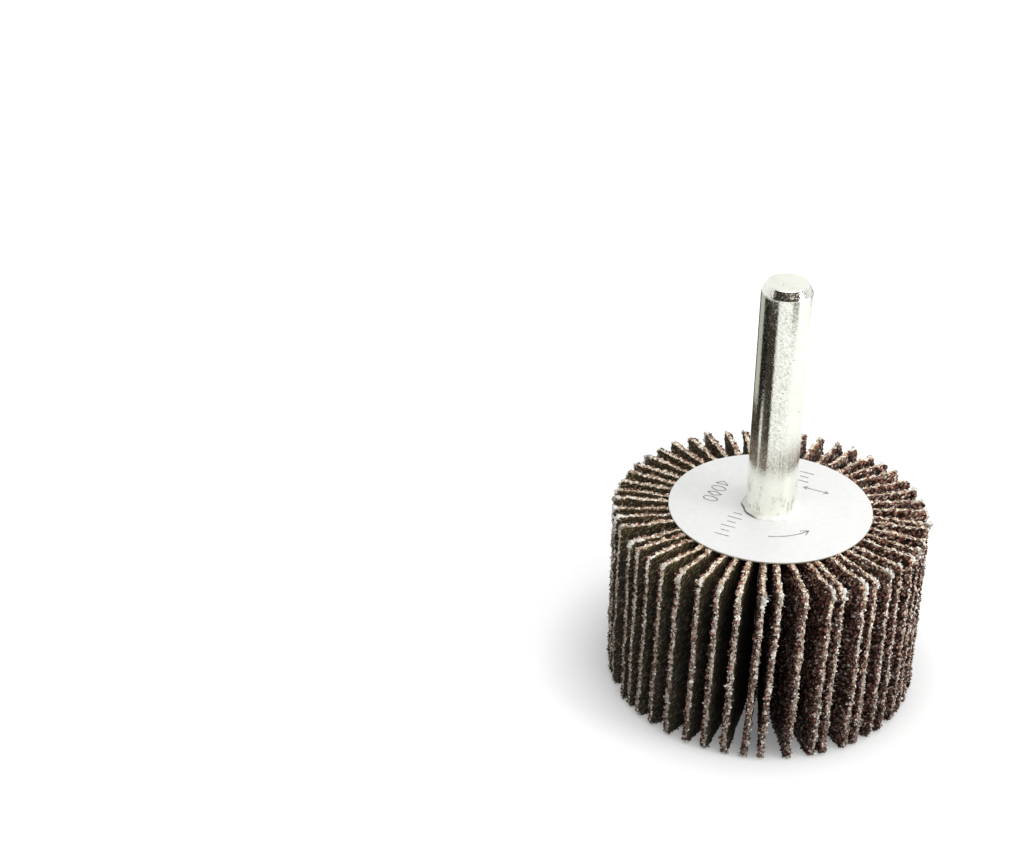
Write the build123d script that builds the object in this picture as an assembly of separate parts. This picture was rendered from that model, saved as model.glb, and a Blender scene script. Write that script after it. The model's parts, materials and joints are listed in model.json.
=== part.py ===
from build123d import *
import math
import os

# A shank-mounted flap wheel: leaves of abrasive cloth stand on edge around a cast resin core,
# which also holds a steel shank. A round card label lies on the shank side of the leaves.
# Frame: origin on the axis at the wheel's free end face, +Z along the shank, away from that face.

# Wheel
wheel_diameter = 40.0
wheel_width = 25.0
free_end_corner_cut = 0.9
shank_end_corner_cut = 0.5

# Flaps: side by side around the core, so their number and thickness set the core's size
flap_count = 50
flap_thickness = 0.75
root_gap = 0.08
root_depth = 0.8
first_flap_angle = 7.2

# Lean of a flap's tip from the radius through its root, in degrees, positive anticlockwise seen
# from the shank: slow waves around the wheel, a small scatter, and a few flaps that stray alone
lean_wave_angles = [(1, 1.1, 221.0), (2, 1.6, 231.0), (3, 0.87, 83.0)]
lean_scatter_angle = 0.45
stray_lean_angles = {27: 3.0, 28: 1.6, 36: -1.5, 38: 2.6, 40: 1.5, 44: 1.4, 47: 2.0, 48: -1.8}
free_end_lag_angle = 1.9
free_end_lag_scatter_angle = 0.35
golden_turn = 0.618034

# Shank: the end in the resin is turned down a little, with a groove, so that the resin grips it
shank_diameter = 6.35
shank_exposed_length = 31.75
shank_tip_chamfer_axial = 1.2
shank_tip_chamfer_radial = 0.6
gripped_end_step = 0.25
gripped_end_chamfer = 0.4
resin_under_shank = 5.0
groove_offset = 6.0
groove_width = 2.0
groove_depth = 0.35

# Label and the resin that rises through its hole as a bead around the shank
label_diameter = 26.0
label_thickness = 0.3
label_hole_clearance = 0.35
bead_width = 0.6
bead_height = 0.5
bead_top_width = 0.1

wheel_radius = wheel_diameter / 2
shank_radius = shank_diameter / 2
flap_pitch = 360.0 / flap_count
root_radius = flap_count * (flap_thickness + root_gap) / (2 * math.pi)
core_radius = root_radius + root_depth
gripped_radius = shank_radius - gripped_end_step
label_top = wheel_width + label_thickness
bead_top = label_top + bead_height
label_hole_radius = shank_radius + label_hole_clearance
shank_top = label_top + shank_exposed_length


def scatter(index, turn):
    """A repeatable value from -1 to 1 that looks random from one flap to the next."""
    return 2 * ((index * turn) % 1.0) - 1


def shank_end_lean(index):
    """Lean of one flap's tip at the end face that carries the shank."""
    angle = first_flap_angle + index * flap_pitch
    lean = stray_lean_angles.get(index, 0.0) + lean_scatter_angle * scatter(index, golden_turn)
    for order, size, phase in lean_wave_angles:
        lean += size * math.cos(math.radians(order * angle - phase))
    return lean


def free_end_lean(index):
    """Lean of the same tip at the free end face, where the cloth lags behind."""
    lag = free_end_lag_angle + free_end_lag_scatter_angle * scatter(index + 7, golden_turn)
    return shank_end_lean(index) - lag


def flap_section(lean):
    """A flap cut across the axis, with its root on +X: radial in the core, then leaning."""
    half = flap_thickness / 2
    tip = Vector(wheel_radius, 0).rotate(Axis.Z, lean)
    across = (tip - Vector(core_radius, 0)).normalized().rotate(Axis.Z, 90) * half
    left_tip = tip + across
    right_tip = tip - across
    outline = Polyline(
        (core_radius, half),
        (root_radius, half),
        (root_radius, -half),
        (core_radius, -half),
        (right_tip.X, right_tip.Y),
        (left_tip.X, left_tip.Y),
        close=True,
    )
    return make_face(outline)


def make_flap(index):
    """One leaf of abrasive cloth: its two end sections joined, then its outer corners cut."""
    free_end = flap_section(free_end_lean(index))
    shank_end = Pos(0, 0, wheel_width) * flap_section(shank_end_lean(index))
    leaf = loft([free_end, shank_end], ruled=True)
    for end, cut in ((0, free_end_corner_cut), (-1, shank_end_corner_cut)):
        end_edges = leaf.edges().group_by(Axis.Z)[end]
        leaf = chamfer(end_edges.sort_by(Axis.X)[-1], cut)
    return (Rot(0, 0, first_flap_angle + index * flap_pitch) * leaf).solid()


def make_shank():
    """The steel pin: chamfered at its free end, turned down and grooved where the resin grips it."""
    profile = Polyline(
        (0, resin_under_shank),
        (gripped_radius - gripped_end_chamfer, resin_under_shank),
        (gripped_radius, resin_under_shank + gripped_end_chamfer),
        (gripped_radius, bead_top),
        (shank_radius, bead_top),
        (shank_radius, shank_top - shank_tip_chamfer_axial),
        (shank_radius - shank_tip_chamfer_radial, shank_top),
        (0, shank_top),
        close=True,
    )
    pin = revolve(Plane.XZ * make_face(profile), Axis.Z)
    ring = Circle(shank_radius) - Circle(gripped_radius - groove_depth)
    pin -= Pos(0, 0, resin_under_shank + groove_offset) * extrude(ring, groove_width)
    return pin.solid()


def make_label():
    """The round card, with a hole that clears the shank."""
    disc = Circle(label_diameter / 2) - Circle(label_hole_radius)
    return (Pos(0, 0, wheel_width) * extrude(disc, label_thickness)).solid()


def make_core(shank, flaps):
    """The resin, cast around the shank and the flap roots, with its bead on the label."""
    core = extrude(Circle(core_radius), wheel_width)
    core += Pos(0, 0, wheel_width) * extrude(Circle(label_hole_radius), label_thickness)
    bead = Cone(shank_radius + bead_width, shank_radius + bead_top_width, bead_height)
    core += Pos(0, 0, label_top + bead_height / 2) * bead
    return (core - shank - flaps).solid()


os.makedirs("parts", exist_ok=True)
flaps = [make_flap(index) for index in range(flap_count)]
shank = make_shank()
export_step(shank, "parts/shank.step")
export_step(make_core(shank, flaps), "parts/resin_core.step")
export_step(make_label(), "parts/label_disc.step")
for index, flap in enumerate(flaps, start=1):
    export_step(flap, f"parts/flap_{index:02d}.step")
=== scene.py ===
import json
import math

import bpy
import numpy as np
from mathutils import Matrix, Vector

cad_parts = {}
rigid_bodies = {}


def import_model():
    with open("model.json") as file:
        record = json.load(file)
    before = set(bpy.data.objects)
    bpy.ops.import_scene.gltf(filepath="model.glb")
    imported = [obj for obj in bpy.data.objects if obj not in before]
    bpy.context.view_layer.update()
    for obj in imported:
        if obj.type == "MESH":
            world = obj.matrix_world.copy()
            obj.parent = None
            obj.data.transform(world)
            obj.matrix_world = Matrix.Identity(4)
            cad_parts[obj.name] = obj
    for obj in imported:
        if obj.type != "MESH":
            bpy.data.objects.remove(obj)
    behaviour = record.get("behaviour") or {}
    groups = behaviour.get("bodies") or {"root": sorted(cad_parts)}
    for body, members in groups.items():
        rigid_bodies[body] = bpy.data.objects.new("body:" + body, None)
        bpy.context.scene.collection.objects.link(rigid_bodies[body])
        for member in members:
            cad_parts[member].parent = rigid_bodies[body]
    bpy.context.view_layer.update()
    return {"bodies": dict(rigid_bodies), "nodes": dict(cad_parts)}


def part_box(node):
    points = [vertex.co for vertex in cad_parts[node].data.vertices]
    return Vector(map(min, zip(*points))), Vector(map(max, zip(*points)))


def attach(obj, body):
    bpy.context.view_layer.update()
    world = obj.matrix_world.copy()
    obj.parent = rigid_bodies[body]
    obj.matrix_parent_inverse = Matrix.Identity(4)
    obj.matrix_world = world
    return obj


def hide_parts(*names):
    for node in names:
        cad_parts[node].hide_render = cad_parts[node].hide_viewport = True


# The looks of a shank-mounted flap wheel: each leaf of abrasive cloth with its grit, its woven
# back and its frayed edges, the plated shank, the card label and the cast resin, in a plain
# studio. Lengths are in millimetres until a mesh is made.

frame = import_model()

MM = 0.001

# Camera, as solved for the photograph
CAMERA_POSITION = (-33.1, -226.8, 167.4)
CAMERA_PITCH = 29.93
CAMERA_ROLL = 0.40
FOCAL_LENGTH_PIXELS = 2091.0
IMAGE_WIDTH_PIXELS = 1024.0
SENSOR_WIDTH = 36.0

# Lamps: position, the point that each aims at, size and power
KEY_LAMP = ((110, -160, 450), (0, 0, 15), 700, 2.17)
SIDE_LAMP = ((390, -175, 100), (15, 0, 14), 200, 1.02)
WORLD_STRENGTH = 0.41

# Floor: its tone as seen and as it lights the object, and its glow. A glow has two distances
# from the axis, in metres, and the strength at each. The near glow is weaker close to the axis,
# which paints a darker shadow around the wheel's foot.
FLOOR_HALF_WIDTH = 1500.0
SEEN_FLOOR_TONE = 0.80
BOUNCED_FLOOR_TONE = 0.52
NEAR_GLOW_PAINTED_SHADOW = (0.017, 0.030, 0.12, 0.43)
FAR_GLOW = (0.15, 0.9, 0.0, 0.29)

# Glowing cards that only polished steel mirrors, as painted reflections: tone, radius,
# directions in degrees from the camera's side, positive to the right, and heights
UMBER = (0.050, 0.038, 0.030)
BLACK = (0.016, 0.015, 0.012)
OLIVE = (0.085, 0.080, 0.060)
WHITE = (1.3, 1.3, 1.3)
GOLD = (0.60, 0.36, 0.22)
SAGE = (0.56, 0.565, 0.50)
FLAGS = (
    (UMBER, 46.0, (-57, -38), (-2, 40)),
    (OLIVE, 46.0, (-77, -57), (-2, 16)),
    (UMBER, 46.0, (-77, -57), (16, 40)),
    (BLACK, 46.0, (-88, -77), (16, 40)),
    (UMBER, 46.0, (-152, -88), (-2, 16)),
    (BLACK, 46.0, (-112, -88), (16, 40)),
    (UMBER, 46.0, (-170, -150), (-2, 40)),
    (SAGE, 46.0, (-150, -112), (16, 40)),
    (UMBER, 118.0, (22, 50), (2, 30)),
    (OLIVE, 118.0, (118, 158), (2, 30)),
    (UMBER, 420.0, (-76, 84), (50, 620)),
    (GOLD, 405.0, (9, 16), (60, 500)),
    (WHITE, 420.0, (115, 245), (110, 420)),
)

# A leaf's thickness, the depth of its grit, and how far it bends out of its flat place
LEAF_THICKNESS_AT_ROOT = 0.80
LEAF_THICKNESS = 0.86
THICKENING_LENGTH = 2.5
GRIT_RELIEF = 0.26
ROOT_IN_RESIN = 0.3
BOW = 0.14
RIPPLE = 0.11
RIPPLE_CELL = 4.5
EDGE_WAVE = 0.09
EDGE_WAVE_CELL = 1.3

# Mesh steps over a leaf. The cloth side is coarser by a whole factor
RADIAL_CELLS = 36
RADIAL_STEP_RATIO = 2.8
HEIGHT_CELLS = 120
CLOTH_COARSENING = 4
RIM_ROWS = (0.0, 0.24, 0.46, 0.64, 0.84, 1.0)
LAST_RIM_ROW = len(RIM_ROWS) - 1
RIM_GRIT_ROWS = 2
LINT_ROW = 4

# Kinds of leaf surface, in the order of a leaf's materials
GRIT, CLOTH, CUT_EDGE, LINT = range(4)

# Cut edges
SHANK_END_CORNER_RADIUS = 0.55
FREE_END_CORNER_RADIUS = 1.2
EDGE_RAGGEDNESS = 0.10
EDGE_WANDER = 0.15
EDGE_WANDER_CELL = 1.6
FRAYED_WIDTH = 0.8
FLOOR_CLEARANCE = 0.02

# Grains and crumbs of cotton along a leaf's cut edges: their number, radius and range of sizes,
# and how far out and aside they lie
EDGE_GRAINS = (130, 0.17, (0.6, 1.35), (-0.4, 0.06), (-0.12, 0.14))
EDGE_CRUMBS = (110, 0.16, (0.5, 1.3), (-0.02, 0.10), (-0.30, 0.10))
WHITE_CRUMB_SHARE = 0.3

# Threads and clumps of lint
THREADS_PER_LEAF = 34
THREAD_RADIUS = 0.032
CORNER_CLUMPS = 8
CLUMP_RADIUS = 0.30
STRAY_LINT_SHARE = 0.3

# Shank
TIP_CHAMFER_AXIAL = 1.2
TIP_CHAMFER_RADIAL = 0.6
GRIPPED_END_STEP = 0.25
GRIPPED_END_CHAMFER = 0.4
GROOVE_OFFSET = 6.0
GROOVE_WIDTH = 2.0
GROOVE_DEPTH = 0.35
EASED_EDGE = 0.09

# Label, and its print: generic marks in the label's plane, with angles from +X
LABEL_HOLE_CLEARANCE = 0.35
PRINT_TURN = math.radians(-117)
PRINT_STROKE = 0.15
PRINT_RELIEF = 0.012
PRINT_DEPTH = 0.01
PRINT_HEIGHT = 1.9
PRINT_PITCH = 1.4
SHAPE_WIDTH_SHARE = 0.55
SHAPES_START = (-5.6, 5.5)
SHAPE_SIDES = (3, 24, 4, 24)
BAR_ROWS = (
    ((-4.3, -1.9), (0.6, 1.0, 0.6, 1.0, 0.6, 1.0)),
    ((5.7, 8.2), (1.0, 0.6, 1.0)),
)
BAR_PITCH_SHARE = 0.78
ARROW_RADIUS = 7.2
ARROW_START = -98.0
ARROW_END = -54.0
ARROW_STEPS = 24
BARB_SPREAD = 0.55
SPAN_CENTRE = (6.3, 3.9)
SPAN_REACH = 1.7
SPAN_BARB_SPREAD = 0.35


def box_mm(node):
    """Lowest and highest corner of a CAD node, in millimetres."""
    low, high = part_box(node)
    return np.array(low) / MM, np.array(high) / MM


CORE_RADIUS = box_mm("resin_core")[1][0]
CORE_TOP = box_mm("resin_core")[1][2]
LABEL_LOW, LABEL_HIGH = box_mm("label_disc")
SHANK_LOW, SHANK_HIGH = box_mm("shank")
SHANK_RADIUS = SHANK_HIGH[0]
LABEL_RADIUS = LABEL_HIGH[0]
LABEL_TOP = LABEL_HIGH[2]
WHEEL_WIDTH = LABEL_LOW[2]
WHEEL_RADIUS = 20.0
FLAP_NODES = sorted(name for name in frame["nodes"] if name.startswith("flap_"))
ROOT = next(iter(frame["bodies"]))


def add_object(name, data):
    """An object in the scene, from its mesh, lamp or camera."""
    made = bpy.data.objects.new(name, data)
    bpy.context.scene.collection.objects.link(made)
    return made


def new_object(name, vertices, faces, materials, face_materials=None):
    """A mesh object from points in millimetres."""
    mesh = bpy.data.meshes.new(name)
    mesh.from_pydata((np.asarray(vertices) * MM).tolist(), [], faces)
    for material in materials:
        mesh.materials.append(material)
    if face_materials is not None:
        mesh.polygons.foreach_set("material_index", face_materials)
    mesh.update()
    return add_object(name, mesh)


def unit(vector):
    return vector / np.linalg.norm(vector)


# Shader helpers. A texture's scale is per metre on object coordinates, and per millimetre on the
# maps that a leaf carries


def new_material(name):
    """A material, its node tree and its main shader."""
    material = bpy.data.materials.new(name)
    material.use_nodes = True
    return material, material.node_tree, material.node_tree.nodes["Principled BSDF"]


def new_node(tree, kind, **settings):
    """A shader node with its settings."""
    node = tree.nodes.new("ShaderNode" + kind)
    for name, value in settings.items():
        setattr(node, name, value)
    return node


def is_socket(value):
    return isinstance(value, bpy.types.NodeSocket)


def set_inputs(node, values):
    """Links each input of a node to a socket, or sets it to a plain value."""
    for name, value in values.items():
        if is_socket(value):
            node.id_data.links.new(value, node.inputs[name])
        else:
            node.inputs[name].default_value = value


def add_node(kind, values, **settings):
    """A shader node with its inputs, in the tree of the sockets among them."""
    tree = next(value.id_data for value in values.values() if is_socket(value))
    node = new_node(tree, kind, **settings)
    set_inputs(node, values)
    return node


def calculate(operation, *values):
    """The result of a Math node. Each value may be a socket or a number."""
    return add_node("Math", dict(enumerate(values)), operation=operation).outputs[0]


def ease(value, start, end, low=0.0, high=1.0):
    """A value that goes from low at start to high at end, and stays there beyond them."""
    limits = {"From Min": start, "From Max": end, "To Min": low, "To Max": high}
    return add_node("MapRange", {"Value": value, **limits}).outputs["Result"]


def component(vector, axis):
    return add_node("SeparateXYZ", {"Vector": vector}).outputs[axis]


def mapped(vector, name, value):
    """Coordinates with one change, which is named Rotation or Scale."""
    return add_node("Mapping", {"Vector": vector, name: value}).outputs["Vector"]


def slanted(vector, turn, scale):
    """Coordinates turned, and then stretched along the new axes."""
    return mapped(mapped(vector, "Rotation", turn), "Scale", scale)


def rgba(colour):
    """A colour, or a grey given as one number, with its opacity."""
    return (*((colour,) * 3 if isinstance(colour, float) else colour), 1.0)


def ramp(source, *stops):
    """A ramp from a value to colours, given as (position, colour or grey) stops."""
    made = add_node("ValToRGB", {"Fac": source})
    elements = made.color_ramp.elements
    while len(elements) < len(stops):
        elements.new(0.5)
    for element, (position, colour) in zip(elements, stops):
        element.position = position
        element.color = rgba(colour)
    return made.outputs["Color"]


def mix(factor, first, second, **settings):
    """Two colours mixed by a factor. Each may be a socket, a colour or a grey."""
    values = {"Fac": factor, "Color1": first, "Color2": second}
    for name in ("Color1", "Color2"):
        if not is_socket(values[name]):
            values[name] = rgba(values[name])
    return add_node("MixRGB", values, **settings).outputs["Color"]


def multiplied(first, second, clamped=False):
    """Two colours multiplied."""
    return mix(1.0, first, second, blend_type="MULTIPLY", use_clamp=clamped)


def noise(coordinates, scale, detail=3.0, roughness=0.6, distortion=0.0):
    """Noise over given coordinates, as a value."""
    values = {"Scale": scale, "Detail": detail, "Roughness": roughness, "Distortion": distortion}
    return add_node("TexNoise", {"Vector": coordinates, **values}).outputs["Fac"]


def cells(coordinates, scale):
    """Cells over given coordinates: the distance from a cell's middle, and each cell's own
    values, named Red, Green and Blue."""
    made = add_node("TexVoronoi", {"Vector": coordinates, "Scale": scale})
    own = add_node("SeparateColor", {"Color": made.outputs["Color"]})
    return made.outputs["Distance"], own.outputs


def spots(coordinates, scale, inner, outer):
    """One in small spots strewn over given coordinates, and zero between them."""
    return ramp(cells(coordinates, scale)[0], (inner, 1.0), (outer, 0.0))


def finish(shader, colour, roughness, specular=0.5):
    """A surface's finish. The specular level is the shader's own unless it is given."""
    values = {"Base Color": colour, "Roughness": roughness, "Specular IOR Level": specular}
    set_inputs(shader, values)


def add_bump(shader, height, strength, distance):
    """Bump on a shader, from a height of 0 to 1 that stands for a distance in metres."""
    values = {"Height": height, "Strength": strength, "Distance": distance}
    set_inputs(shader, {"Normal": add_node("Bump", values).outputs["Normal"]})


def object_coordinates(tree):
    return new_node(tree, "TexCoord").outputs["Object"]


def leaf_map(tree, name):
    return new_node(tree, "UVMap", uv_map=name).outputs["UV"]


def leaf_axis(tree, axis):
    """Radius, for X, or height, for Y, on the leaf in millimetres."""
    return component(leaf_map(tree, "leaf"), axis)


def slanted_leaf(tree, slant, stretch):
    """Radius, height and offset across on the leaf, in millimetres and with a shift of its own
    for each leaf, turned by an angle in the leaf's plane and stretched along the new Y."""
    axes = {"X": leaf_axis(tree, "X"), "Y": leaf_axis(tree, "Y")}
    axes["Z"] = component(leaf_map(tree, "rim"), "X")
    joined = add_node("CombineXYZ", axes).outputs["Vector"]
    return slanted(joined, (0.0, 0.0, slant), (1.0, stretch, 1.0))


def near_shank_end(colour, tint, reach):
    """A colour multiplied by a tint at the leaf's shank end, which fades out over reach."""
    near = ease(leaf_axis(colour.id_data, "Y"), WHEEL_WIDTH - reach, WHEEL_WIDTH)
    return multiplied(colour, mix(near, 1.0, tint), clamped=True)


def darker_towards_free_end(colour, lowest, highest):
    """A colour darkened towards the free end and made lighter towards the shank end, where it is
    also a little warmer."""
    share = ease(leaf_axis(colour.id_data, "Y"), 1.0, WHEEL_WIDTH, lowest, highest)
    graded = multiplied(colour, share, clamped=True)
    return near_shank_end(graded, (1.05, 1.0, 0.92), 3.5)


def border_mask(tree, operation, outer, shank_end):
    """A mask that rises to one towards a leaf's outer edge, joined to one that rises towards its
    shank end. Each goes from one distance inside that edge to another."""
    masks = []
    for axis, edge, (start, end) in (("X", WHEEL_RADIUS, outer), ("Y", WHEEL_WIDTH, shank_end)):
        masks.append(ease(leaf_axis(tree, axis), edge - start, edge - end))
    return calculate(operation, *masks)


def lit_edges(colour, inside, at_edge):
    """A colour multiplied by one grey inside a leaf, and by another along its free edges."""
    near = border_mask(colour.id_data, "MAXIMUM", (2.6, 0.1), (3.2, 0.0))
    return multiplied(colour, mix(near, inside, at_edge))


def height_mask(place, start, end):
    """Zero below the height start and one above end, in millimetres along the axis."""
    return ease(component(place, "Z"), start * MM, end * MM)


def band_mask(place, axis, centre, inner, outer):
    """One within inner of the centre along an axis, and zero beyond outer, in millimetres."""
    offset = calculate("SUBTRACT", component(place, axis), centre * MM)
    return ease(calculate("ABSOLUTE", offset), inner * MM, outer * MM, 1.0, 0.0)


def sector_mask(place, direction, inner, outer):
    """One within inner degrees of a direction around the axis, and zero beyond outer."""
    flat = mapped(place, "Scale", (1.0, 1.0, 0.0))
    heading = add_node("VectorMath", {0: flat}, operation="NORMALIZE").outputs["Vector"]
    middle = (math.cos(math.radians(direction)), math.sin(math.radians(direction)), 0.0)
    match = add_node("VectorMath", {0: heading, 1: middle}, operation="DOT_PRODUCT")
    limits = [math.cos(math.radians(angle)) for angle in (outer, inner)]
    return ease(match.outputs["Value"], *limits)


def vector_length(vector):
    return add_node("VectorMath", {0: vector}, operation="LENGTH").outputs["Value"]


def seen_directly(tree):
    """One for what the camera, gloss or clear surfaces see, and zero for scattered light."""
    rays = new_node(tree, "LightPath").outputs
    seen = rays["Is Camera Ray"]
    for name in ("Is Glossy Ray", "Is Transmission Ray"):
        seen = calculate("MAXIMUM", seen, rays[name])
    return seen


# Materials of the leaves


def grit_material():
    """Aluminium oxide grains in dark glue: red-brown, with a few pale sparkling faces."""
    material, tree, shader = new_material("abrasive_grit")
    place = object_coordinates(tree)
    distance, own = cells(slanted_leaf(tree, 0.8, 0.62), 3.6)
    brown = ramp(
        own["Red"],
        (0.0, (0.022, 0.010, 0.008)),
        (0.30, (0.095, 0.040, 0.029)),
        (0.60, (0.31, 0.135, 0.098)),
        (0.84, (0.56, 0.35, 0.275)),
        (1.0, (0.95, 0.87, 0.82)),
    )
    gaps = ramp(distance, (0.30, 1.0), (0.72, 0.14))
    shaded = lit_edges(multiplied(brown, gaps), 0.95, 1.5)
    glue = ramp(noise(place, 1100.0, 4.0, 0.7), (0.38, 0.30), (0.58, 1.0))
    shine = ramp(own["Green"], (0.0, 0.25), (1.0, 0.8))
    sparkle = ramp(own["Blue"], (0.86, 0.14), (0.93, 1.0))
    # The colour is darker towards the free end and lighter towards the shank end.
    finish(shader, darker_towards_free_end(multiplied(shaded, glue), 0.9, 1.2), shine, sparkle)
    relief = mix(0.25, distance, noise(place, 9000.0, 2.0))
    add_bump(shader, relief, 1.0, -0.00016)
    return material


def weave_height(along, across, pitch):
    """Height of a plain weave: a round bump wherever a thread of one way crosses the other."""
    bumps = []
    for axis in (along, across):
        wave = calculate("SINE", calculate("MULTIPLY", axis, math.pi / pitch))
        bumps.append(calculate("ABSOLUTE", wave))
    return calculate("MULTIPLY", *bumps)


def cloth_material():
    """The woven back of the abrasive cloth: dark olive, sized with glue, with paler fibres."""
    material, tree, shader = new_material("cloth_back")
    weave = weave_height(leaf_axis(tree, "X"), leaf_axis(tree, "Y"), 0.36)
    fuzz = noise(slanted_leaf(tree, -1.1, 0.36), 4.0, 3.0, 0.72, 0.5)
    stain = noise(object_coordinates(tree), 240.0, 4.0, 0.6)
    base = ramp(stain, (0.35, (0.022, 0.0185, 0.012)), (0.7, (0.050, 0.0425, 0.029)))
    shaded = multiplied(base, ramp(weave, (0.0, 0.5), (0.7, 1.0)))
    fibres = ramp(fuzz, (0.53, 0.0), (0.66, 0.8))
    fibrous = mix(fibres, shaded, (0.27, 0.24, 0.165))
    edged = lit_edges(fibrous, 1.0, 1.6)
    # Painted light: the cloth is made up to 1.6 times as bright towards the shank end, where light
    # from above falls on it.
    colour = near_shank_end(edged, (1.60, 1.38, 1.02), 5.0)
    finish(shader, colour, 0.82, 0.2)
    add_bump(shader, mix(0.5, weave, fuzz), 0.9, 0.00014)
    return material


def cut_edge_material():
    """The cut edge of the cloth: pale broken cotton, with grit dust caught in it, but less of it
    at the outer corner by the shank, where the cloth frays most."""
    material, tree, shader = new_material("cut_edge")
    place = object_coordinates(tree)
    yarns = slanted(leaf_map(tree, "rim"), (0.0, 0.0, -0.9), (1.0, 0.4, 1.0))
    cotton = noise(yarns, 2.7, 3.0, 0.68, 0.3)
    pale = ramp(
        cotton,
        (0.37, (0.14, 0.10, 0.072)),
        (0.48, (0.49, 0.38, 0.29)),
        (0.59, (0.96, 0.91, 0.82)),
    )
    own = cells(place, 3300.0)[1]
    brown = ramp(
        own["Green"],
        (0.0, (0.06, 0.032, 0.024)),
        (0.7, (0.27, 0.15, 0.11)),
        (1.0, (0.57, 0.40, 0.32)),
    )
    amount = calculate("SUBTRACT", noise(place, 420.0, 3.0, 0.6), 0.55)
    frayed_corner = border_mask(tree, "MULTIPLY", (3.5, 0.5), (3.0, 0.5))
    left = calculate("MULTIPLY_ADD", frayed_corner, -0.5, amount)
    dust = ramp(calculate("ADD", own["Red"], left), (0.70, 0.0), (0.78, 1.0))
    # The colour is darker towards the free end and lighter towards the shank end.
    colour = darker_towards_free_end(mix(dust, pale, brown), 0.45, 1.25)
    finish(shader, colour, 0.9, 0.2)
    add_bump(shader, cotton, 1.0, 0.00016)
    return material


def lint_material():
    """Loose cotton threads, off-white with a few stained ones."""
    material, tree, shader = new_material("loose_threads")
    place = object_coordinates(tree)
    stain = noise(place, 900.0, 3.0)
    colour = ramp(stain, (0.36, (0.42, 0.35, 0.28)), (0.48, (0.88, 0.86, 0.80)))
    finish(shader, colour, 0.9)
    add_bump(shader, noise(place, 5000.0, 3.0, 0.7), 1.0, 0.00010)
    return material


# Flaps


def smooth_field(rng, x, y, cell):
    """Smooth random values from -1 to 1 at points x, y, with features about one cell wide."""
    columns = x / cell - np.floor(x.min() / cell)
    rows = y / cell - np.floor(y.min() / cell)
    lattice = rng.uniform(-1, 1, (int(columns.max()) + 2, int(rows.max()) + 2))
    i, j = columns.astype(int), rows.astype(int)
    u, v = columns - i, rows - j
    u, v = u * u * (3 - 2 * u), v * v * (3 - 2 * v)
    low = lattice[i, j] * (1 - u) + lattice[i + 1, j] * u
    high = lattice[i, j + 1] * (1 - u) + lattice[i + 1, j + 1] * u
    return low * (1 - v) + high * v


class Leaf:
    """Carries points given as (radius, height, offset across) onto one CAD flap's place: its
    root direction, the line that it leans from, and where it leans at both ends."""

    def __init__(self, node, rng):
        points = np.array([v.co for v in frame["nodes"][node].data.vertices]) / MM
        radius = np.hypot(points[:, 0], points[:, 1])
        root = points[radius < radius.min() + 0.1].mean(0)[:2]
        self.root = root / np.hypot(*root)
        self.hinge = self.root * CORE_RADIUS
        self.leans = []
        for height in (0.0, WHEEL_WIDTH):
            level = np.abs(points[:, 2] - height) < 0.01
            outer = level & (radius > radius[level].max() - 0.05)
            lean = points[outer].mean(0)[:2] - self.hinge
            self.leans.append(lean / np.hypot(*lean))
        self.bow = rng.uniform(-BOW, BOW)
        self.seed = rng.integers(1 << 30)

    def place(self, radius, height, across):
        share = np.clip(height / WHEEL_WIDTH, 0, 1)[:, None]
        lean = self.leans[0] * (1 - share) + self.leans[1] * share
        side = np.column_stack([-lean[:, 1], lean[:, 0]])
        out = (radius - CORE_RADIUS)[:, None]
        along = np.clip((radius - CORE_RADIUS) / (WHEEL_RADIUS - CORE_RADIUS), 0, 1)
        rng = np.random.default_rng(self.seed)
        ripple = RIPPLE * smooth_field(rng, radius, height, RIPPLE_CELL) * along
        wave = EDGE_WAVE * smooth_field(rng, radius, height, EDGE_WAVE_CELL) * along**3
        across = across + self.bow * np.sin(math.pi * along) + ripple + wave
        outside = self.hinge + out * lean
        inside = self.root * radius[:, None]
        flat = np.where(out > 0, outside, inside) + side * across[:, None]
        return np.column_stack([flat, height])


def round_corners(radius, height):
    """Pulls the outer corners of the leaf's rectangle onto arcs."""
    for end, size in ((0.0, FREE_END_CORNER_RADIUS), (WHEEL_WIDTH, SHANK_END_CORNER_RADIUS)):
        inward = 1 if end == 0.0 else -1
        a = (radius - (WHEEL_RADIUS - size)) / size
        b = (inward * (end - height) + size) / size
        corner = (a > 0) & (b > 0)
        shrink = np.maximum(a, b) / np.maximum(np.hypot(a, b), 1e-9)
        radius = np.where(corner, WHEEL_RADIUS - size + a * shrink * size, radius)
        height = np.where(corner, end - inward * (b * shrink * size - size), height)
    return radius, height


def leaf_thickness(radius):
    grown = np.clip((radius - CORE_RADIUS) / THICKENING_LENGTH, 0, 1)
    return LEAF_THICKNESS_AT_ROOT + (LEAF_THICKNESS - LEAF_THICKNESS_AT_ROOT) * grown


def border(columns, rows):
    """The (i, j) corners around a grid of cells, anticlockwise seen from the grit side."""
    bottom = [(i, 0) for i in range(columns)]
    outer = [(columns, j) for j in range(rows)]
    top = [(i, rows) for i in range(columns, 0, -1)]
    root = [(0, j) for j in range(rows, 0, -1)]
    return bottom + outer + top + root


LOOP = border(RADIAL_CELLS, HEIGHT_CELLS)
LOOP_PLACE = {corner: k for k, corner in enumerate(LOOP)}
LOOP_COUNT = len(LOOP)
GRID_COUNT = (RADIAL_CELLS + 1) * (HEIGHT_CELLS + 1)
OUTER_CORNER = RADIAL_CELLS + HEIGHT_CELLS


def grid_index(i, j):
    return i * (HEIGHT_CELLS + 1) + j


def ring_index(row, k):
    """Index of a rim vertex. Row 0 is the grit face's own border."""
    if row == 0:
        return grid_index(*LOOP[k % LOOP_COUNT])
    return GRID_COUNT + (row - 1) * LOOP_COUNT + k % LOOP_COUNT


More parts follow.
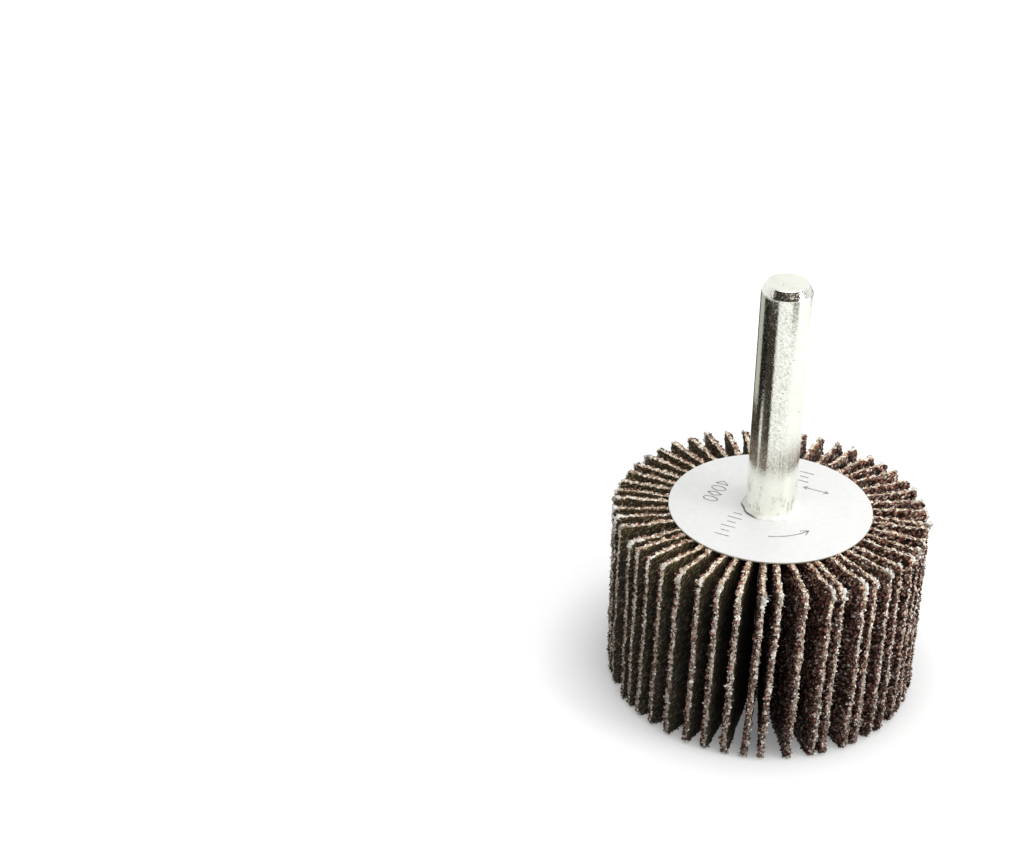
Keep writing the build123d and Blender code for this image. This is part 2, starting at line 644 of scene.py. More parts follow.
def leaf_faces():
    """Faces of the grit side, the rim and the cloth side, with the kind of each, and the inner
    vertices of the coarser cloth side. They are the same for every leaf."""
    faces, kinds = [], []
    for i in range(RADIAL_CELLS):
        for j in range(HEIGHT_CELLS):
            corners = ((i, j), (i + 1, j), (i + 1, j + 1), (i, j + 1))
            faces.append([grid_index(*corner) for corner in corners])
            kinds.append(GRIT)
    for row in range(LAST_RIM_ROW):
        for k in range(LOOP_COUNT):
            below = (ring_index(row, k), ring_index(row + 1, k))
            above = (ring_index(row + 1, k + 1), ring_index(row, k + 1))
            faces.append([*below, *above])
            kinds.append(GRIT if row < RIM_GRIT_ROWS else CUT_EDGE)
    inner = {}
    first_inner = GRID_COUNT + LAST_RIM_ROW * LOOP_COUNT
    step = CLOTH_COARSENING

    def cloth_index(corner):
        if corner in LOOP_PLACE:
            return ring_index(LAST_RIM_ROW, LOOP_PLACE[corner])
        return inner.setdefault(corner, first_inner + len(inner))

    for i in range(0, RADIAL_CELLS, step):
        for j in range(0, HEIGHT_CELLS, step):
            ring = [(i + a, j + b) for a, b in border(step, step)]
            kept = [c for c in ring if c in LOOP_PLACE or c[0] % step + c[1] % step == 0]
            faces.append([cloth_index(corner) for corner in reversed(kept)])
            kinds.append(CLOTH)
    return faces, kinds, list(inner)


LEAF_FACES, LEAF_KINDS, CLOTH_INNER = leaf_faces()


def leaf_grid():
    """Radius and height of every grid corner, before fraying. Cells are finer near the tip."""
    t = np.linspace(0, 1, RADIAL_CELLS + 1)
    first = 2 * RADIAL_STEP_RATIO / (RADIAL_STEP_RATIO + 1)
    last = 2 - first
    start = CORE_RADIUS - ROOT_IN_RESIN
    radii = start + (WHEEL_RADIUS - start) * (first * t + (last - first) * t * t / 2)
    heights = np.linspace(0, WHEEL_WIDTH, HEIGHT_CELLS + 1)
    radius, height = np.meshgrid(radii, heights, indexing="ij")
    return round_corners(radius.ravel(), height.ravel())


GRID_RADIUS, GRID_HEIGHT = leaf_grid()


def outward_direction():
    """The border's grid corners, and the in-plane direction out of the leaf at each."""
    loop = np.array([grid_index(*corner) for corner in LOOP])
    points = np.column_stack([GRID_RADIUS[loop], GRID_HEIGHT[loop]])
    along = np.roll(points, -1, axis=0) - np.roll(points, 1, axis=0)
    along /= np.maximum(np.hypot(along[:, 0], along[:, 1]), 1e-9)[:, None]
    return loop, np.column_stack([along[:, 1], -along[:, 0]])


LOOP_GRID, LOOP_OUT = outward_direction()


def fray(rng, radius, height):
    """Moves the leaf's border in and out, and the cells just inside it along with it."""
    wander = EDGE_WANDER * smooth_field(rng, radius, height, EDGE_WANDER_CELL)
    shift = wander + rng.uniform(-1, 1, radius.size) * EDGE_RAGGEDNESS
    near_tip = np.clip(1 - (WHEEL_RADIUS - radius) / FRAYED_WIDTH, 0, 1)
    near_top = np.clip(1 - (WHEEL_WIDTH - height) / FRAYED_WIDTH, 0, 1)
    near_foot = np.clip(1 - height / FRAYED_WIDTH, 0, 1)
    height = height + shift * near_top * 0.8 + np.abs(shift) * near_foot
    return radius + shift * near_tip, height


def thread(points, thickness):
    """A tapering three-sided thread along a few points, closed at both ends."""
    sides = 3
    vertices, faces = [], []
    count = len(points) - 1
    for n in range(count):
        along = unit(points[n + 1] - points[n])
        first = unit(np.cross(along, (0.3, 0.5, 0.81)))
        second = np.cross(along, first)
        width = thickness * (1 - 0.6 * n / count)
        for s in range(sides):
            angle = 2 * math.pi * s / sides
            around = first * math.cos(angle) + second * math.sin(angle)
            vertices.append(points[n] + around * width)
    vertices.append(points[-1])
    faces.append([2, 1, 0])
    for n in range(count):
        for s in range(sides):
            a, b = n * sides + s, n * sides + (s + 1) % sides
            faces.append([a, b, b + sides, a + sides] if n < count - 1 else [a, b, count * sides])
    return vertices, faces


def thread_path(rng, start, direction, length, curl):
    """Points of a short curved thread, from start out along direction."""
    bend = rng.normal(0, curl, 3)
    steps = np.linspace(0, 1, 4)[:, None]
    return start + direction * length * steps + bend * length * steps**2


def ball():
    """Points and faces of a ball of unit radius: an icosahedron with each face cut in four."""
    g = (1 + math.sqrt(5)) / 2
    points = [(s, t * g, 0) for s in (-1, 1) for t in (-1, 1)]
    points += [(0, s, t * g) for s in (-1, 1) for t in (-1, 1)]
    points += [(s * g, 0, t) for t in (-1, 1) for s in (-1, 1)]
    points = [np.array(p) / math.hypot(1, g) for p in points]
    edge = min(np.linalg.norm(points[0] - p) for p in points[1:]) + 1e-6
    near = [[np.linalg.norm(p - q) < edge for q in points] for p in points]
    corners = []
    for a in range(12):
        for b in range(a + 1, 12):
            for c in range(b + 1, 12):
                if near[a][b] and near[b][c] and near[a][c]:
                    out = np.dot(np.cross(points[b] - points[a], points[c] - points[a]), points[a])
                    corners.append((a, b, c) if out > 0 else (a, c, b))
    middles = {}

    def middle(a, b):
        key = (min(a, b), max(a, b))
        if key not in middles:
            middles[key] = len(points)
            points.append(unit(points[a] + points[b]))
        return middles[key]

    faces = []
    for a, b, c in corners:
        ab, bc, ca = middle(a, b), middle(b, c), middle(c, a)
        faces += [[a, ab, ca], [b, bc, ab], [c, ca, bc], [ab, bc, ca]]
    return np.array(points), faces


BALL_POINTS, BALL_FACES = ball()


def clump(rng, centre, size):
    """A lumpy ball of lint."""
    lumps = rng.uniform(0.62, 1.3, (len(BALL_POINTS), 1))
    stretch = rng.uniform(0.75, 1.35, 3)
    return list(centre + BALL_POINTS * lumps * stretch * size), BALL_FACES


CRUMB_POINTS = np.array([(1, 0, 0), (-1, 0, 0), (0, 1, 0), (0, -1, 0), (0, 0, 1), (0, 0, -1)])
CRUMB_FACES = [
    [0, 2, 4], [2, 1, 4], [1, 3, 4], [3, 0, 4], [2, 0, 5], [1, 2, 5], [3, 1, 5], [0, 3, 5]
]


def crumb(rng, centre, size):
    """A sharp grain or a crumb of cotton: a lopsided octahedron, turned at random."""
    turned_axes, _ = np.linalg.qr(rng.normal(size=(3, 3)))
    if np.linalg.det(turned_axes) < 0:
        turned_axes[:, 0] *= -1
    lengths = rng.uniform(0.55, 1.35, (6, 1))
    return list(centre + (CRUMB_POINTS * lengths * size) @ turned_axes.T), CRUMB_FACES


def edge_crumbs(rng, line, outward, across, count, radius, sizes, out, aside):
    """Grains or crumbs strewn along a line on a leaf's cut edges."""
    outer = np.arange(RADIAL_CELLS // 4, RADIAL_CELLS * 7 // 4 + HEIGHT_CELLS)
    crumbs = []
    for k in rng.choice(outer, count):
        size = radius * rng.uniform(*sizes)
        shift = outward[k] * rng.uniform(*out) + across[k] * rng.uniform(*aside)
        crumbs.append(crumb(rng, line[k] + shift, size))
    return crumbs


def gather(pieces, start=0):
    """One list of points and one of faces from many small pieces. The faces count their points
    from start."""
    vertices, faces = [], []
    for points, made in pieces:
        faces += [[index + start + len(vertices) for index in face] for face in made]
        vertices += list(points)
    return vertices, faces


def leaf_lint(rng, rim, outward):
    """Loose threads along a leaf's cut edges, clumps of lint at its outer corner by the shank,
    and on some leaves a stray clump lower down."""
    pieces = []
    outer = slice(RADIAL_CELLS, OUTER_CORNER + int(RADIAL_CELLS * 0.7))
    places = np.arange(LOOP_COUNT)[outer]
    for k in rng.choice(places, THREADS_PER_LEAF):
        direction = unit(outward[k] + rng.normal(0, 0.7, 3))
        length = 0.12 + 0.45 * rng.random() ** 4
        pieces.append(thread(thread_path(rng, rim[k], direction, length, 0.5), THREAD_RADIUS))
    fluffy = rng.random() ** 0.8
    clump_places = rng.normal(OUTER_CORNER, 2.5, int(CORNER_CLUMPS * fluffy + 1)).astype(int)
    sizes = CLUMP_RADIUS * (0.45 + 0.55 * fluffy) * rng.uniform(0.6, 1.1, clump_places.size)
    if rng.random() < STRAY_LINT_SHARE:
        stray = rng.integers(RADIAL_CELLS + 8, OUTER_CORNER - 10)
        clump_places = np.append(clump_places, stray)
        sizes = np.append(sizes, CLUMP_RADIUS * rng.uniform(0.6, 1.0))
    for k, size in zip(clump_places, sizes):
        centre = rim[k] + outward[k] * size * 0.25
        pieces.append(clump(rng, centre, size))
        for _ in range(3):
            direction = unit(outward[k] * 0.4 + rng.normal(0, 0.8, 3))
            path = thread_path(rng, centre, direction, size * rng.uniform(1.3, 2.6), 0.6)
            pieces.append(thread(path, THREAD_RADIUS * 1.3))
    return pieces


def frayed_kinds(rng):
    """Kinds of a leaf's faces, with the border between grit and cotton on its rim broken up at
    random."""
    kinds = np.array(LEAF_KINDS)
    first = RADIAL_CELLS * HEIGHT_CELLS + (RIM_GRIT_ROWS - 1) * LOOP_COUNT
    middle, last = first + LOOP_COUNT, first + 2 * LOOP_COUNT
    patches = smooth_field(rng, np.arange(LOOP_COUNT, dtype=float), np.zeros(LOOP_COUNT), 2.5)
    kinds[first:middle] = np.where(patches > 0.1, CUT_EDGE, GRIT)
    kinds[middle:last] = np.where(patches < -0.62, GRIT, CUT_EDGE)
    return kinds.tolist()


def rim_rows(rng, loop_radius, loop_height, grit_border, cloth_border):
    """Rows of points across the cut edge, from the grit side to the cloth side, with knobs of
    grit. What the resin holds stays even."""
    free = (GRID_RADIUS[LOOP_GRID] > CORE_RADIUS).astype(float)
    rows = []
    for row in range(1, LAST_RIM_ROW + 1):
        knobs = (rng.random(LOOP_COUNT) > 0.8) * rng.uniform(0.05, 0.22, LOOP_COUNT)
        push = (rng.uniform(-0.06, 0.08, LOOP_COUNT) + knobs) * free
        if row == LAST_RIM_ROW:
            push = rng.uniform(-0.08, 0.03, LOOP_COUNT) * free
        jitter = rng.uniform(-0.06, 0.06, LOOP_COUNT) * free
        if row <= RIM_GRIT_ROWS:
            jitter -= knobs * 0.8
        across = grit_border + (cloth_border - grit_border) * RIM_ROWS[row] + jitter
        radius = loop_radius + LOOP_OUT[:, 0] * push
        rows.append((radius, loop_height + LOOP_OUT[:, 1] * push, across))
    return rows


def make_leaf(number, node, materials):
    """One flap: rough grit on one side, woven cloth on the other, and a frayed rim between."""
    rng = np.random.default_rng(number)
    leaf = Leaf(node, rng)
    radius, height = fray(rng, GRID_RADIUS, GRID_HEIGHT)
    thick = leaf_thickness(radius)
    grain = rng.random(GRID_COUNT)
    bumps = GRIT_RELIEF * (0.6 * grain**1.5 + 0.4 * (grain > 0.75) * rng.random(GRID_COUNT))
    grit_off = -thick / 2 + GRIT_RELIEF - bumps
    loop_radius, loop_height = radius[LOOP_GRID], height[LOOP_GRID]
    widening = 0.08 * smooth_field(rng, LOOP_GRID.astype(float) % 997, np.zeros(LOOP_COUNT), 6.0)
    grit_border, cloth_border = grit_off[LOOP_GRID], thick[LOOP_GRID] / 2 + widening
    parts = [(radius, height, grit_off)]
    parts += rim_rows(rng, loop_radius, loop_height, grit_border, cloth_border)
    inner = np.array([grid_index(*corner) for corner in CLOTH_INNER])
    cloth_off = thick[inner] / 2 + rng.uniform(-0.02, 0.02, inner.size)
    parts.append((radius[inner], height[inner], cloth_off))
    radius, height, across = (np.concatenate([part[n] for part in parts]) for n in range(3))
    height = np.maximum(height, FLOOR_CLEARANCE)
    vertices = leaf.place(radius, height, across)
    first = GRID_COUNT + (LINT_ROW - 1) * LOOP_COUNT
    rim = vertices[first : first + LOOP_COUNT]
    level = np.zeros(LOOP_COUNT)
    edge = leaf.place(loop_radius, loop_height, level)
    outward = edge - leaf.place(loop_radius - LOOP_OUT[:, 0], loop_height - LOOP_OUT[:, 1], level)
    beside = leaf.place(loop_radius, loop_height, level + 1) - edge
    grit_line = leaf.place(loop_radius, loop_height, grit_border)
    cotton_line = leaf.place(loop_radius, loop_height, cloth_border)
    grains = edge_crumbs(rng, grit_line, outward, -beside, *EDGE_GRAINS)
    crumbs = edge_crumbs(rng, cotton_line, outward, beside, *EDGE_CRUMBS)
    faces, kinds = list(LEAF_FACES), frayed_kinds(rng)
    white = int(len(crumbs) * WHITE_CRUMB_SHARE)
    lint = crumbs[:white] + leaf_lint(rng, rim, outward)
    for pieces, kind in ((grains, GRIT), (crumbs[white:], CUT_EDGE), (lint, LINT)):
        points, made = gather(pieces, len(vertices))
        faces += made
        kinds += [kind] * len(made)
        vertices = np.vstack([vertices, points])
    from_axis = np.hypot(vertices[:, 0], vertices[:, 1])
    highest = np.where(from_axis < LABEL_RADIUS + 0.15, WHEEL_WIDTH - 0.01, np.inf)
    vertices[:, 2] = np.clip(vertices[:, 2], FLOOR_CLEARANCE, highest)
    made = new_object(f"leaf_{number:02d}", vertices, faces, materials, kinds)
    made.data.polygons.foreach_set("use_smooth", [kind == LINT for kind in kinds])
    add_map(made.data, "leaf", from_axis, vertices[:, 2])
    side = np.full(len(vertices), 10.0 * number)
    side[: len(across)] += across
    add_map(made.data, "rim", side, from_axis + vertices[:, 2])
    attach(made, ROOT)
    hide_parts(node)


def add_map(mesh, name, first, second):
    """A texture map from two values of each vertex, in millimetres."""
    layer = mesh.uv_layers.new(name=name)
    corners = np.empty(len(mesh.loops), np.int32)
    mesh.loops.foreach_get("vertex_index", corners)
    flat = np.column_stack([first, second])
    layer.data.foreach_set("uv", flat[corners].ravel())


def make_flaps():
    materials = [grit_material(), cloth_material(), cut_edge_material(), lint_material()]
    for number, node in enumerate(FLAP_NODES, start=1):
        make_leaf(number, node, materials)


# Turned pieces


def turned(name, profile, segments, material, closed=False, shape=None):
    """A mesh turned about the axis from (radius, height) points. Points on the axis become
    single vertices. shape(radius, height, angle) may move a point of the ring."""
    rings, vertices = [], []
    for radius, height in profile:
        if radius < 1e-6:
            rings.append([len(vertices)] * segments)
            vertices.append((0.0, 0.0, height))
            continue
        rings.append(list(range(len(vertices), len(vertices) + segments)))
        for s in range(segments):
            angle = 2 * math.pi * s / segments
            r, z = (radius, height) if shape is None else shape(radius, height, angle)
            vertices.append((r * math.cos(angle), r * math.sin(angle), z))
    if closed:
        rings.append(rings[0])
    faces = []
    for low, high in zip(rings, rings[1:]):
        for s in range(segments):
            t = (s + 1) % segments
            face = [low[s], low[t], high[t], high[s]]
            faces.append(list(dict.fromkeys(face)))
    made = new_object(name, vertices, faces, [material])
    made.data.polygons.foreach_set("use_smooth", [True] * len(made.data.polygons))
    made.data.set_sharp_from_angle(angle=math.radians(40))
    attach(made, ROOT)
    return made


def rounded(points, radius, steps=5):
    """A profile with the corners of a polyline eased, each by the same small radius."""
    points = [np.array(p, float) for p in points]
    out = [points[0]]
    for before, here, after in zip(points, points[1:], points[2:]):
        a, b = before - here, after - here
        reach = min(radius, np.linalg.norm(a) / 2, np.linalg.norm(b) / 2)
        start, end = here + unit(a) * reach, here + unit(b) * reach
        for n in range(steps + 1):
            t = n / steps
            out.append(start * (1 - t) ** 2 + here * 2 * t * (1 - t) + end * t * t)
    out.append(points[-1])
    return [tuple(p) for p in out]


def steel_colour(place, strokes, end_face):
    """Nickel with faint tarnish, scuffed along the middle of its lit side, with dark pits and with
    smears where it meets the label. The foot is free of speckle and painted brighter, a painted
    reflection of the label, and the end face is painted a little darker."""
    tarnish = noise(place, 180.0, 5.0, 0.65)
    nickel = ramp(tarnish, (0.36, (0.72, 0.73, 0.665)), (0.62, (0.80, 0.81, 0.74)))
    speckle = ramp(noise(strokes, 4600.0, 2.0, 0.8), (0.40, 0.70), (0.54, 1.0))
    scuffed = mix(band_mask(place, "X", -0.35, 0.6, 1.5), 1.0, speckle)
    # Painted light: over the foot the speckle gives way to 1.22 times the colour, so that the
    # steel mirrors the label more brightly.
    foot = height_mask(place, LABEL_TOP + 7.5, LABEL_TOP + 5.5)
    painted_bright_foot = mix(foot, scuffed, 1.22)
    # Painted shade: the end face is made 0.945 as bright, so that its lit edge stands out.
    worn = multiplied(nickel, mix(end_face, painted_bright_foot, 0.945))
    pits = spots(place, 900.0, 0.055, 0.085)
    pitted = mix(pits, worn, (0.10, 0.075, 0.055))
    upright = mapped(place, "Scale", (1.0, 1.0, 0.35))
    smear = ramp(noise(upright, 900.0, 3.0, 0.7), (0.56, 0.0), (0.66, 0.7))
    at_label = height_mask(place, LABEL_TOP + 3.6, LABEL_TOP + 1.6)
    smeared = calculate("MULTIPLY", smear, at_label)
    return mix(smeared, pitted, (0.24, 0.185, 0.13))


def steel_material():
    """Nickel-plated steel, tumbled: mirror-like, with fine speckle, pits and a dented chamfer."""
    material, tree, shader = new_material("plated_steel")
    place = object_coordinates(tree)
    top = SHANK_HIGH[2]
    strokes = slanted(place, (0.0, 0.7, 0.0), (1.0, 1.0, 0.6))
    end_face = height_mask(place, top - 0.03, top - 0.005)
    shine = ramp(noise(place, 800.0, 3.0), (0.3, 0.08), (0.75, 0.20))
    scratches = ramp(noise(strokes, 5000.0, 2.0, 0.7), (0.57, 0.0), (0.68, 1.0))
    scratched = mix(scratches, shine, 0.34)
    shader.inputs["Metallic"].default_value = 1.0
    colour = steel_colour(place, strokes, end_face)
    finish(shader, colour, mix(end_face, scratched, 0.55))
    fine = multiplied(noise(place, 2600.0, 3.0, 0.65), 0.2)
    dents = noise(place, 2000.0, 2.0, 0.6)
    chamfer_start = top - TIP_CHAMFER_AXIAL
    chamfer = height_mask(place, chamfer_start, chamfer_start + 0.1)
    tip = height_mask(place, top - 0.1, top - 0.02)
    on_chamfer = calculate("SUBTRACT", chamfer, tip)
    add_bump(shader, mix(on_chamfer, fine, dents), 1.0, 0.00009)
    return material


def groove(radius):
    """The four corners of the groove in the gripped end, from a given radius inwards."""
    low = SHANK_LOW[2] + GROOVE_OFFSET
    high = low + GROOVE_WIDTH
    floor = radius - GROOVE_DEPTH
    return [(radius, low), (floor, low), (floor, high), (radius, high)]


def make_shank():
    """The pin: a chamfered free end, and a slightly thinner, grooved end in the resin."""
    low, top = SHANK_LOW[2], SHANK_HIGH[2]
    gripped = SHANK_RADIUS - GRIPPED_END_STEP
    outline = [
        (0.0, low),
        (gripped - GRIPPED_END_CHAMFER, low),
        (gripped, low + GRIPPED_END_CHAMFER),
        *groove(gripped),
        (gripped, CORE_TOP - 0.3),
        (SHANK_RADIUS, CORE_TOP - 0.05),
        (SHANK_RADIUS, top - TIP_CHAMFER_AXIAL),
        (SHANK_RADIUS - TIP_CHAMFER_RADIAL, top),
        (0.0, top),
    ]
    pin = turned("shank_pin", rounded(outline, EASED_EDGE), 160, steel_material())
    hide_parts("shank")


def card_material():
    """White coated card, darker along the lower part of its cut rim."""
    material, tree, shader = new_material("label_card")
    place = object_coordinates(tree)
    fibre = noise(place, 1400.0, 4.0)
    white = ramp(fibre, (0.3, (0.84, 0.84, 0.83)), (0.7, (0.89, 0.89, 0.88)))
    radius = vector_length(mapped(place, "Scale", (1.0, 1.0, 0.0)))
    rim = ease(radius, (LABEL_RADIUS - 0.07) * MM, (LABEL_RADIUS - 0.02) * MM)
    low_edge = height_mask(place, WHEEL_WIDTH + 0.22, WHEEL_WIDTH + 0.12)
    cut = calculate("MULTIPLY", rim, low_edge)
    colour = mix(cut, white, (0.30, 0.29, 0.19))
    finish(shader, colour, 0.42)
    add_bump(shader, fibre, 0.10, 0.00002)
    return material


def make_label():
    """The round card, with eased edges and its punched hole."""
    low, high = WHEEL_WIDTH, LABEL_TOP
    hole = SHANK_RADIUS + LABEL_HOLE_CLEARANCE
    outline = [(hole, low), (LABEL_RADIUS, low), (LABEL_RADIUS, high), (hole, high), (hole, low)]
    profile = rounded(outline, 0.06)[:-1]
    card = turned("label_card", profile, 240, card_material(), closed=True)
    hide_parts("label_disc")


def ink_material():
    """Thin grey printing ink, worn in places."""
    material, tree, shader = new_material("label_ink")
    worn = noise(object_coordinates(tree), 1800.0, 3.0)
    colour = ramp(worn, (0.35, (0.09, 0.095, 0.075)), (0.62, (0.33, 0.34, 0.30)))
    finish(shader, colour, 0.6)
    return material


def stroke(points, width, low, high):
    """A flat closed strip of ink along a line of points in the label's plane."""
    points = np.array(points, float)
    along = np.gradient(points, axis=0)
    along /= np.hypot(along[:, 0], along[:, 1])[:, None]
    side = np.column_stack([-along[:, 1], along[:, 0]]) * width / 2
    vertices, faces = [], []
    for left, right in zip(points + side, points - side):
        vertices += [(*left, low), (*right, low), (*right, high), (*left, high)]
    for n in range(len(points) - 1):
        for corner in range(4):
            a, b = 4 * n + corner, 4 * n + (corner + 1) % 4
            faces.append([a, b, b + 4, a + 4])
    last = 4 * (len(points) - 1)
    faces += [[3, 2, 1, 0], [last, last + 1, last + 2, last + 3]]
    return vertices, faces


def arc(centre, half_width, half_height, start, end, steps):
    """Points of an ellipse, given by its half width and half height vectors, from one angle to
    another in degrees."""
    points = []
    for n in range(steps + 1):
        angle = math.radians(start + (end - start) * n / steps)
        points.append(centre + half_width * math.cos(angle) + half_height * math.sin(angle))
    return points


def straight(start, end):
    return [start, (start + end) / 2, end]


def print_lines():
    """Generic marks: open shapes, bars, an arrow for the turning direction and a double arrow."""
    along = np.array([math.cos(PRINT_TURN), math.sin(PRINT_TURN)])
    across = np.array([-along[1], along[0]])
    lines = []
    for n, sides in enumerate(SHAPE_SIDES):
        centre = np.array(SHAPES_START) + along * n * PRINT_PITCH
        half_height = across * PRINT_HEIGHT / 2
        half_width = along * PRINT_HEIGHT / 2 * SHAPE_WIDTH_SHARE
        outline = arc(centre, half_width, half_height, 180, 540, sides)
        if sides > 4:
            lines.append(outline)
        else:
            lines += [straight(a, b) for a, b in zip(outline, outline[1:])]
    for start, heights in BAR_ROWS:
        for n, height in enumerate(heights):
            centre = np.array(start) + along * n * PRINT_PITCH * BAR_PITCH_SHARE
            half = across * PRINT_HEIGHT / 2 * height
            lines.append(straight(centre - half, centre + half))
    arrow = arc(0.0, *(ARROW_RADIUS * np.eye(2)), ARROW_START, ARROW_END, ARROW_STEPS)
    lines.append(arrow)
    tip = arrow[-1]
    back = unit(arrow[-3] - tip)
    for side in (-1, 1):
        barb = back + side * BARB_SPREAD * np.array([-back[1], back[0]])
        lines.append(straight(tip, tip + barb))
    middle = np.array(SPAN_CENTRE)
    for way in (-1, 1):
        end = middle + across * way * SPAN_REACH
        lines.append(straight(middle, end))
        for side in (-1, 1):
            barb = -across * way * BARB_SPREAD + along * side * SPAN_BARB_SPREAD
            lines.append(straight(end, end + barb))
    return lines


def make_print():
    ink = []
    for line in print_lines():
        ink.append(stroke(line, PRINT_STROKE, LABEL_TOP - PRINT_DEPTH, LABEL_TOP + PRINT_RELIEF))
    made = new_object("label_print", *gather(ink), [ink_material()])
    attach(made, ROOT)


def resin_material():
    """Cast filled resin: grey-white, with yellow stains and dark red grit specks."""
    material, tree, shader = new_material("cast_resin")
    place = object_coordinates(tree)
    cloud = noise(place, 350.0, 4.0)
    dull = ramp(cloud, (0.35, (0.52, 0.55, 0.50)), (0.65, (0.60, 0.62, 0.57)))
    pale = ramp(cloud, (0.40, (0.80, 0.80, 0.76)), (0.58, (0.90, 0.90, 0.87)))
    base = mix(height_mask(place, WHEEL_WIDTH, LABEL_TOP), dull, pale)
    blotches = noise(place, 220.0, 5.0, 0.7, 0.6)
    stain = ramp(blotches, (0.52, 0.0), (0.70, 0.6))
    stained = mix(stain, base, (0.52, 0.50, 0.30))
    specks = spots(place, 560.0, 0.07, 0.11)
    specked = mix(specks, stained, (0.20, 0.08, 0.05))
    # Painted shade: a dark line at the foot of the bead, on its front left, stands in for the
    # shadow of a gap between the bead and the label.
    bead_foot = band_mask(place, "Z", LABEL_TOP + 0.06, 0.09, 0.18)
    painted_gap_shade = calculate("MULTIPLY", bead_foot, sector_mask(place, 203.0, 24.0, 36.0))
    colour = mix(painted_gap_shade, specked, (0.13, 0.11, 0.08))
    finish(shader, colour, 0.45)
    add_bump(shader, cloud, 0.25, 0.00008)
    return material


def make_core():
    """The cast core, with an uneven rim between the flap roots, and its bead on the label."""
    low, high = WHEEL_WIDTH, LABEL_TOP
    hole = SHANK_RADIUS + 0.3
    bore = SHANK_RADIUS - 0.2

    def uneven(radius, height, angle):
        if radius > CORE_RADIUS - 0.5:
            swell = 0.10 * math.sin(len(FLAP_NODES) * angle) + 0.07 * math.sin(17 * angle + 1)
            return radius - 0.12 + swell, height
        if height > high + 0.01:
            swell = 0.09 * math.sin(5 * angle + 0.6) + 0.06 * math.sin(11 * angle)
            return radius + swell * (radius > SHANK_RADIUS), height
        return radius, height

    outline = [
        (0.0, FLOOR_CLEARANCE),
        (CORE_RADIUS, FLOOR_CLEARANCE),
        (CORE_RADIUS, low - 0.02),
        (hole, low - 0.02),
        (hole, high),
        (SHANK_RADIUS + 0.55, high + 0.02),
        (SHANK_RADIUS + 0.10, CORE_TOP),
        (bore, CORE_TOP),
        *reversed(groove(bore)),
        (bore, SHANK_LOW[2]),
        (0.0, SHANK_LOW[2]),
    ]
    core = turned("cast_core", rounded(outline, 0.10), 300, resin_material(), shape=uneven)
    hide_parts("resin_core")


# Studio


def floor_material():
    """White floor that keeps the object's shadow, and that the camera and gloss see as white. Its
    glow is dimmer close to the axis, a painted shadow around the wheel's foot.
    """
    material, tree, shader = new_material("studio_floor")
    tree.nodes.remove(shader)
    seen = seen_directly(tree)
    distance = vector_length(object_coordinates(tree))
    level = calculate("ADD", *(ease(distance, *at) for at in (NEAR_GLOW_PAINTED_SHADOW, FAR_GLOW)))
    tone = mix(seen, BOUNCED_FLOOR_TONE, SEEN_FLOOR_TONE)
    lit = add_node("BsdfDiffuse", {"Color": tone})
    glow = add_node("Emission", {"Strength": calculate("MULTIPLY", seen, level)})
    both = add_node("AddShader", {0: lit.outputs[0], 1: glow.outputs[0]})
    set_inputs(tree.nodes["Material Output"], {"Surface": both.outputs[0]})
    return material


def make_floor():
    size = FLOOR_HALF_WIDTH
    corners = [(-size, -size, 0), (size, -size, 0), (size, size, 0), (-size, size, 0)]
    floor = new_object("studio_floor", corners, [[0, 1, 2, 3]], [floor_material()])


def make_world():
    """A soft white surround. What the camera and gloss see of it is plain white."""
    world = bpy.data.worlds.new("studio_world")
    world.use_nodes = True
    tree = world.node_tree
    light = tree.nodes["Background"]
    backdrop = new_node(tree, "Background")
    for background, strength in ((light, WORLD_STRENGTH), (backdrop, 1.0)):
        set_inputs(background, {"Color": rgba(1.0), "Strength": strength})
    sources = {0: seen_directly(tree), 1: light.outputs[0], 2: backdrop.outputs[0]}
    joined = add_node("MixShader", sources)
    set_inputs(tree.nodes["World Output"], {"Surface": joined.outputs[0]})
    bpy.context.scene.world = world


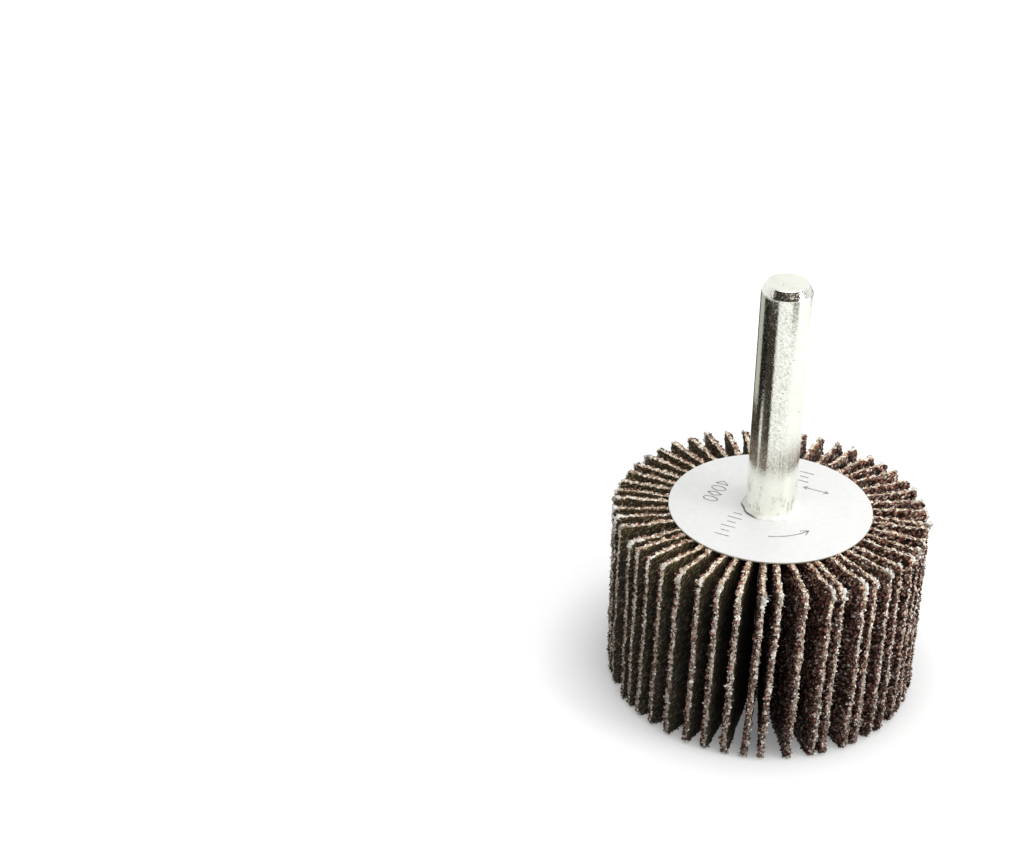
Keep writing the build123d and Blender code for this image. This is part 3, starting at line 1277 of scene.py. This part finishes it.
def flag_material(name, tone):
    """A card that mirrors see in one plain tone."""
    material, tree, shader = new_material(name)
    tree.nodes.remove(shader)
    glow = new_node(tree, "Emission")
    set_inputs(glow, {"Color": rgba(tone)})
    set_inputs(tree.nodes["Material Output"], {"Surface": glow.outputs[0]})
    return material


def make_flag(name, tone, radius, directions, heights):
    """A curved glowing card that only mirror surfaces see, a painted reflection that gives
    polished steel its dark, pale and gold bands.
    """
    start, end = directions
    steps = max(2, int(abs(end - start) / 3))
    vertices, faces = [], []
    for n in range(steps + 1):
        angle = math.radians(-90 + start + (end - start) * n / steps)
        for height in heights:
            vertices.append((radius * math.cos(angle), radius * math.sin(angle), height))
        if n:
            faces.append([2 * n - 2, 2 * n, 2 * n + 1, 2 * n - 1])
    flag = new_object(name, vertices, faces, [flag_material(name, tone)])
    for ray in ("camera", "diffuse", "transmission", "shadow"):
        setattr(flag, f"visible_{ray}", False)


def make_lamp(name, position, target, size, power):
    """A soft square lamp, placed in millimetres."""
    data = bpy.data.lights.new(name, "AREA")
    data.shape = "SQUARE"
    data.size = size * MM
    data.energy = power
    lamp = add_object(name, data)
    lamp.location = Vector(position) * MM
    aim = (Vector(target) - Vector(position)).to_track_quat("-Z", "Y")
    lamp.rotation_euler = aim.to_euler()


def make_camera():
    data = bpy.data.cameras.new("camera")
    data.sensor_width = SENSOR_WIDTH
    data.lens = FOCAL_LENGTH_PIXELS * SENSOR_WIDTH / IMAGE_WIDTH_PIXELS
    data.clip_start = 0.01
    data.clip_end = 10.0
    camera = add_object("camera", data)
    tilt = Matrix.Rotation(math.radians(90 - CAMERA_PITCH), 4, "X")
    roll = Matrix.Rotation(math.radians(CAMERA_ROLL), 4, "Z")
    camera.matrix_world = Matrix.Translation(Vector(CAMERA_POSITION) * MM) @ tilt @ roll
    bpy.context.scene.camera = camera


make_camera()
make_world()
make_floor()
make_lamp("key_lamp", *KEY_LAMP)
make_lamp("side_lamp", *SIDE_LAMP)
for number, flag in enumerate(FLAGS, start=1):
    make_flag(f"flag_{number}", *flag)
make_shank()
make_label()
make_print()
make_core()
make_flaps()

bpy.context.scene.view_settings.view_transform = "Standard"
